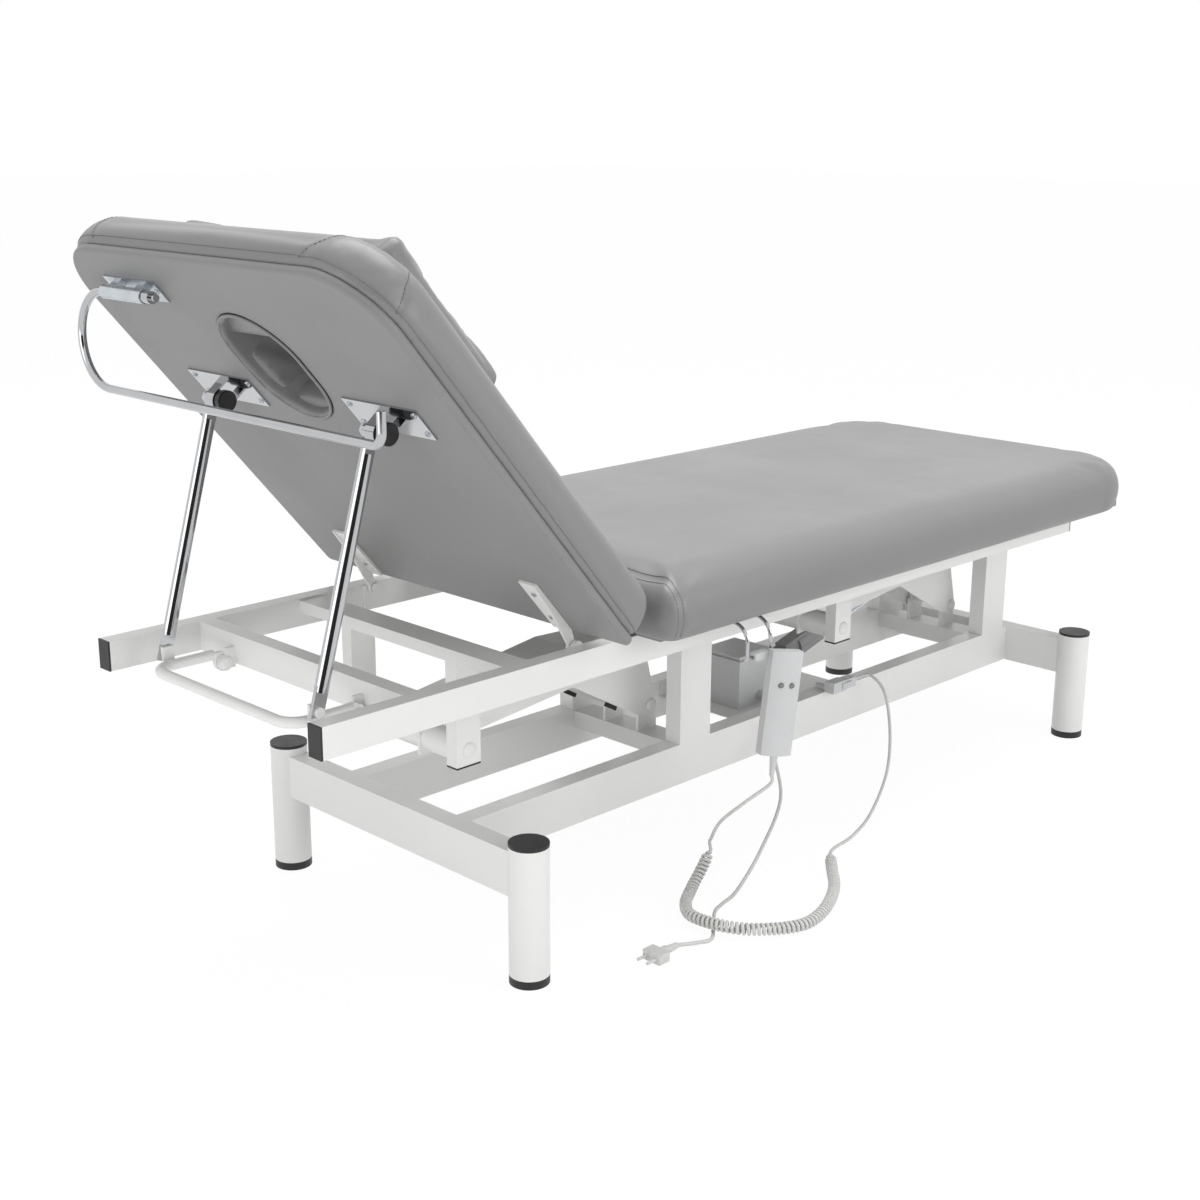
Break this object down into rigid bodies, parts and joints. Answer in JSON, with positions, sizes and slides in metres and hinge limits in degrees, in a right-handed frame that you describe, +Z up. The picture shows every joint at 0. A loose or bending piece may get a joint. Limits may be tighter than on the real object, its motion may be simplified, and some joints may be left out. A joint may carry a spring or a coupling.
{
  "type": "facial treatment bed",
  "caption": "Height-adjustable treatment bed: steel base with parallel lift arms and actuator, padded seat, propped hinged backrest with face hole, paper roll holder and wired handset.",
  "frame": {"origin": "centre of the overall box at floor level, free cords and plug left out", "axes": "+X along the bed to the foot end, +Y across the bed away from the handset side, +Z up"},
  "size_m": [1.938, 0.835, 1.0758],
  "materials": {
    "frame_white": "satin powder coat",
    "cap_black": "matt",
    "pad_rubber": "matt",
    "vinyl_seat": "soft grained upholstery vinyl",
    "vinyl_back": "soft grained upholstery vinyl",
    "vinyl_pillow": "soft grained upholstery vinyl",
    "board": "plywood covered in thin grey vinyl",
    "chrome": "polished",
    "zinc": "zinc plated",
    "knob_black": "semi-gloss",
    "shell_grey": "fine texture",
    "button_grey": "matt",
    "motor_grey": "matt",
    "cord_grey": "smooth"
  },
  "bodies": {
    "base": {"leg_tubes": "frame_white", "leg_caps": "cap_black", "leg_feet": "cap_black", "base_cross_head": "frame_white", "base_cross_foot": "frame_white", "base_rail_near": "frame_white", "base_rail_far": "frame_white", "uprights": "frame_white", "upright_pads": "pad_rubber", "pivot_lugs": "frame_white", "pivot_pins": "frame_white", "cable_tray": "frame_white", "control_box": "shell_grey", "actuator_bracket": "frame_white", "actuator_body": "motor_grey", "actuator_tube": "zinc", "connector": "shell_grey", "handset_lead": "cord_grey", "handset_coil": "cord_grey", "connector_lead": "cord_grey", "mains_cord": "cord_grey", "mains_plug": "cord_grey"},
    "head_lift_arm": {"head_arm": "frame_white", "head_torsion": "frame_white", "arm_stop": "pad_rubber"},
    "foot_lift_arm": {"foot_arm": "frame_white", "foot_torsion": "frame_white", "lever_pin": "zinc"},
    "ram": {"actuator_rod": "chrome"},
    "upper_frame": {"rail_near": "frame_white", "rail_far": "frame_white", "rail_caps": "cap_black", "cross_head": "frame_white", "prop_lugs": "frame_white", "prop_pegs": "frame_white", "frame_bars": "frame_white", "post_bars": "frame_white", "lift_posts": "frame_white", "post_caps": "cap_black", "post_domes": "frame_white", "hinge_lugs": "frame_white", "seat_board": "board", "seat_cushion": "vinyl_seat", "handset_hanger": "chrome"},
    "backrest": {"backrest_board": "board", "backrest_cushion": "vinyl_back", "hinge_arms": "frame_white", "board_screws": "zinc", "prop_plates": "chrome", "prop_pins": "zinc", "prop_knobs": "knob_black", "roll_plate": "zinc"},
    "prop": {"prop_struts": "chrome", "prop_ubar": "frame_white"},
    "roll_holder": {"roll_rod": "chrome"},
    "pillow": {"pillow_slab": "vinyl_pillow"},
    "handset": {"handset_shell": "shell_grey", "handset_relief": "shell_grey"},
    "key_up": {"button_up": "button_grey"},
    "key_down": {"button_down": "button_grey"}
  },
  "joints": [
    {"name": "lift", "type": "hinge", "parent": "base", "child": "head_lift_arm", "pos_m": [-0.128, 0.01584, 0.241], "axis": [0, 1, 0], "range_deg": [0, 40.9]},
    {"name": "upper_pivot", "type": "hinge", "parent": "head_lift_arm", "child": "upper_frame", "pos_m": [-0.609, 0.01584, 0.307], "axis": [0, 1, 0], "range_deg": [-40.9, 0]},
    {"name": "foot_pivot", "type": "hinge", "parent": "base", "child": "foot_lift_arm", "pos_m": [0.774, 0.01584, 0.241], "axis": [0, 1, 0], "range_deg": [0, 40.9]},
    {"name": "actuator_stroke", "type": "slide", "parent": "base", "child": "ram", "axis": [0.9657, 0, 0.2596], "range_m": [0, 0.0867]},
    {"name": "backrest_tilt", "type": "hinge", "parent": "upper_frame", "child": "backrest", "pos_m": [-0.491, 0.01584, 0.462], "axis": [0, 1, 0], "range_deg": [-49.2, 0]},
    {"name": "prop_swing", "type": "hinge", "parent": "backrest", "child": "prop", "pos_m": [-0.80803, 0.01584, 0.81117], "axis": [0, 1, 0], "range_deg": [0, 33]},
    {"name": "roll_holder_swing", "type": "hinge", "parent": "backrest", "child": "roll_holder", "pos_m": [-0.93482, 0.01584, 0.96725], "axis": [0, 1, 0], "range_deg": [-20, 60]},
    {"name": "pillow_lift_off", "type": "slide", "parent": "backrest", "child": "pillow", "axis": [0.757, 0, 0.6534], "range_m": [0, 0.15]},
    {"name": "handset_lift_off", "type": "slide", "parent": "upper_frame", "child": "handset", "axis": [0, 0, 1], "range_m": [0, 0.011]},
    {"name": "key_up_press", "type": "slide", "parent": "handset", "child": "key_up", "axis": [0.4185, 0.9063, -0.0588], "range_m": [0, 0.0015], "stiffness_N_per_m": 200, "springref_m": -0.001},
    {"name": "key_down_press", "type": "slide", "parent": "handset", "child": "key_down", "axis": [0.4185, 0.9063, -0.0588], "range_m": [0, 0.0015], "stiffness_N_per_m": 200, "springref_m": -0.001}
  ],
  "couplings": [
    {"joint": "upper_pivot", "follows": "lift", "ratio": -1},
    {"joint": "foot_pivot", "follows": "lift", "ratio": 1},
    {"joint": "actuator_stroke", "follows": "lift", "m_per_rad": 0.12138}
  ]
}
